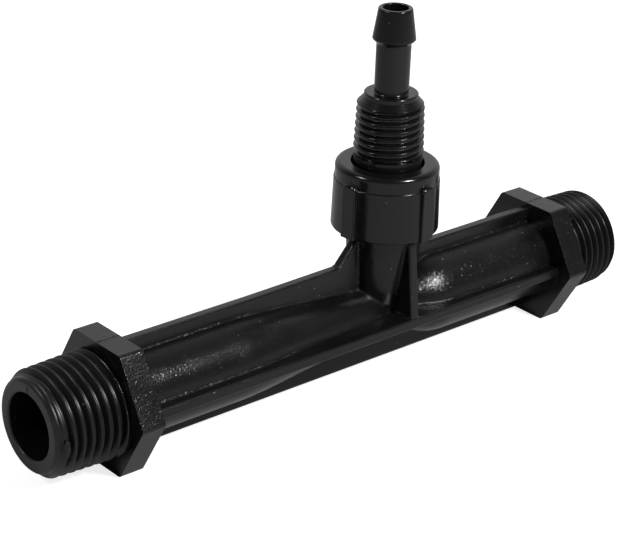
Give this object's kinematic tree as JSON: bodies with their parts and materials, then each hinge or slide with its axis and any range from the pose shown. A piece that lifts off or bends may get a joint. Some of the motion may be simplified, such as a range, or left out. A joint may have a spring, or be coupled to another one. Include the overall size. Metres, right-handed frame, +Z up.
{
  "type": "venturi fertilizer injector",
  "caption": "Moulded venturi injector: finned water line with threaded ends and hexes, and a suction branch with a union nut, ball check valve and barbed hose tail",
  "frame": {"origin": "middle of the part's box at its base, under the line's mid-length, on the plane of the bottom hex flats", "axes": "+X along the water line from outlet to inlet, +Z up along the suction branch, +Y completes a right-handed frame"},
  "size_m": [0.14, 0.0274, 0.0725],
  "materials": {
    "body_plastic": "semi-gloss black moulding with fine sparkle",
    "nut_plastic": "semi-gloss black moulding",
    "fitting_plastic": "semi-gloss black moulding",
    "seal_rubber": "matt black rubber",
    "ball_steel": "polished",
    "spring_steel": "drawn wire"
  },
  "bodies": {
    "body": {"injector_body": "body_plastic", "union_nut": "nut_plastic", "hose_fitting": "fitting_plastic", "seal_ring": "seal_rubber", "valve_spring": "spring_steel"},
    "check_ball": {"valve_ball": "ball_steel"}
  },
  "joints": [
    {"name": "check_ball_lift", "type": "slide", "parent": "body", "child": "check_ball", "axis": [0, 0, -1], "range_m": [0, 0.002], "stiffness_N_per_m": 25, "springref_m": -0.004, "deforming": ["valve_spring"]}
  ]
}
